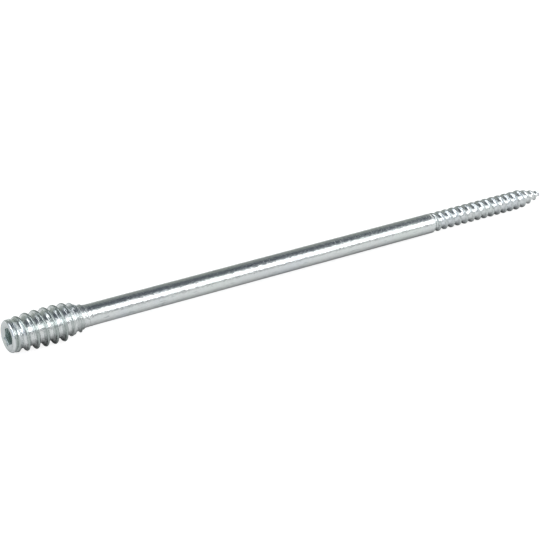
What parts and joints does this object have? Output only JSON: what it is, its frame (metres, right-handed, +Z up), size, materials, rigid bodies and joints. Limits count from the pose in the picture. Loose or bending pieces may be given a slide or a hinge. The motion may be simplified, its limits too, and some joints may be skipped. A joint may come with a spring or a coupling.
{
  "type": "spacer screw",
  "caption": "Long steel spacer screw: coarse adjusting thread round a hexagon-socket head, plain shank and a wood thread of the same pitch.",
  "frame": {"origin": "centre of the overall box at its lowest level, on the surface that the screw lies on", "axes": "+X along the screw from its socket head to its point, +Z up from the surface that it lies on"},
  "size_m": [0.18, 0.01, 0.01],
  "materials": {
    "zinc_plated_steel": "bright zinc plating with fine rolling and handling scratches"
  },
  "bodies": {
    "root": {"spacer_screw": "zinc_plated_steel"}
  },
  "joints": []
}
